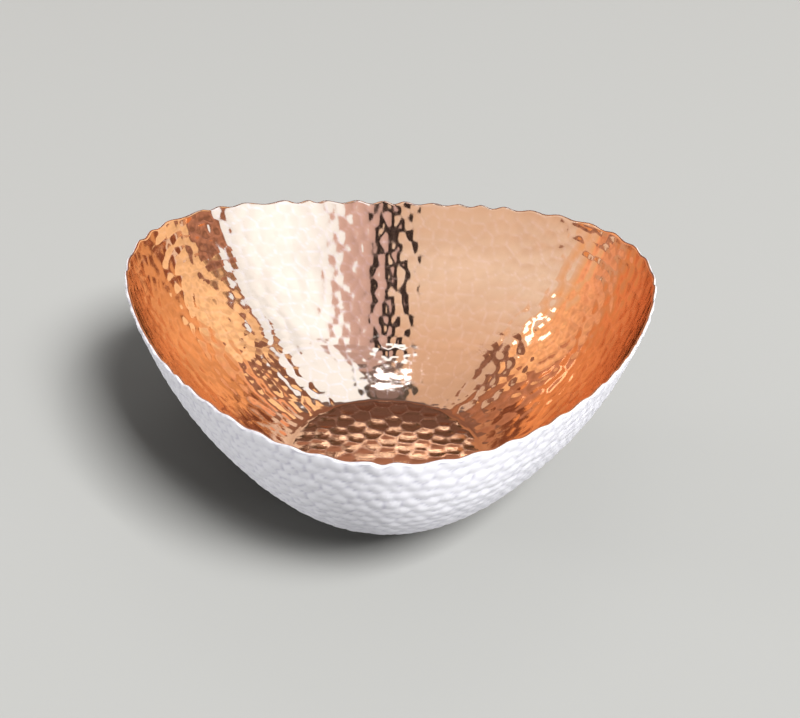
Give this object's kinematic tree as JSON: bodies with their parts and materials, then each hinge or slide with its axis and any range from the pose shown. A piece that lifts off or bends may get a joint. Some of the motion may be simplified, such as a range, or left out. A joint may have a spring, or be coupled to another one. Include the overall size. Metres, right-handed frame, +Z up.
{
  "type": "hammered copper bowl",
  "caption": "Round-bottomed serving bowl with a softly three-cornered, scalloped rim: a hammered copper sheet, bare and polished inside, with white enamel fused to its outside.",
  "frame": {"origin": "centre of the flat round underside, on the table", "axes": "+Z up out of the mouth, -Y towards the front corner, +X to the right of someone facing that corner"},
  "size_m": [0.2484, 0.2438, 0.0891],
  "materials": {
    "copper": null,
    "white_enamel": "white vitreous enamel, satin to gloss, over the hammered sheet"
  },
  "bodies": {
    "root": {"copper_bowl": "copper", "white_enamel": "white_enamel"}
  },
  "joints": []
}
